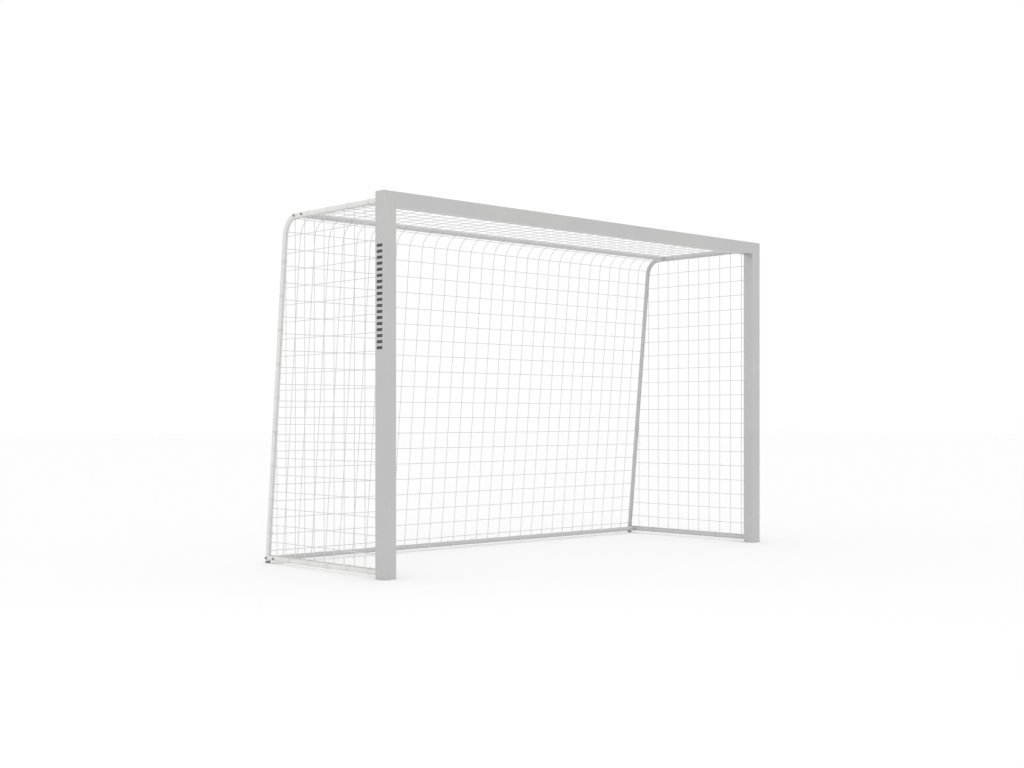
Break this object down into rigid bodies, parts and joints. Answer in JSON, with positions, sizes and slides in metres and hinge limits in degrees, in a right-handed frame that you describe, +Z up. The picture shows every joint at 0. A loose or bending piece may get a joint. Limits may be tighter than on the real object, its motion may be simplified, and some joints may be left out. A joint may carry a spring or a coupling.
{
  "type": "soccer goal frame",
  "caption": "Free-standing indoor goal: square aluminium posts and crossbar, bent tube hoops and ground bars behind, and a knotted net on all sides.",
  "frame": {"origin": "on the floor, at the middle of the goal's width and depth", "axes": "+X across the goal, towards the right for a player who faces the mouth; +Y from the mouth to the back of the net; +Z up"},
  "size_m": [3.167, 1.2501, 2.0835],
  "materials": {
    "post_aluminium": "satin, clear coated extrusion",
    "cast_aluminium": "as cast",
    "tube_aluminium": "satin, clear coated tube",
    "plate_zinc": "zinc plated flat steel",
    "zinc_fasteners": "zinc plated",
    "black_fasteners": "black coated steel, semi-gloss",
    "black_plastic": "moulded, fine grain",
    "grey_plastic": "moulded, fine grain",
    "clip_plastic": "moulded nylon",
    "border_cord": "braided polypropylene cord",
    "net": "knotted polypropylene twine",
    "marking": "matt printed film"
  },
  "bodies": {
    "root": {"left_post": "post_aluminium", "right_post": "post_aluminium", "crossbar": "post_aluminium", "left_corner_connector": "cast_aluminium", "right_corner_connector": "cast_aluminium", "left_corner_screws": "zinc_fasteners", "right_corner_screws": "zinc_fasteners", "left_post_foot_plug": "grey_plastic", "right_post_foot_plug": "grey_plastic", "left_net_hoop": "tube_aluminium", "right_net_hoop": "tube_aluminium", "left_hoop_foot_cap": "black_plastic", "right_hoop_foot_cap": "black_plastic", "left_ground_bar": "tube_aluminium", "right_ground_bar": "tube_aluminium", "rear_top_bar": "tube_aluminium", "rear_ground_bar": "tube_aluminium", "rear_top_bar_end_plates": "plate_zinc", "rear_ground_bar_end_plates": "plate_zinc", "left_mounting_plates": "tube_aluminium", "right_mounting_plates": "tube_aluminium", "left_mounting_bolts": "zinc_fasteners", "right_mounting_bolts": "zinc_fasteners", "left_mounting_nuts": "zinc_fasteners", "right_mounting_nuts": "zinc_fasteners", "left_rear_bolts": "black_fasteners", "right_rear_bolts": "black_fasteners", "left_rear_washers": "zinc_fasteners", "right_rear_washers": "zinc_fasteners", "left_rear_nuts": "zinc_fasteners", "right_rear_nuts": "zinc_fasteners", "left_post_net_clips": "clip_plastic", "right_post_net_clips": "clip_plastic", "crossbar_net_clips": "clip_plastic", "left_hoop_net_ties": "clip_plastic", "right_hoop_net_ties": "clip_plastic", "left_ground_bar_net_ties": "clip_plastic", "right_ground_bar_net_ties": "clip_plastic", "rear_top_bar_net_ties": "clip_plastic", "rear_ground_bar_net_ties": "clip_plastic", "roof_net": "net", "back_net": "net", "left_side_net": "net", "right_side_net": "net", "left_side_border_cord": "border_cord", "right_side_border_cord": "border_cord", "crossbar_border_cord": "border_cord", "rear_border_cord": "border_cord", "post_marking": "marking"}
  },
  "joints": []
}
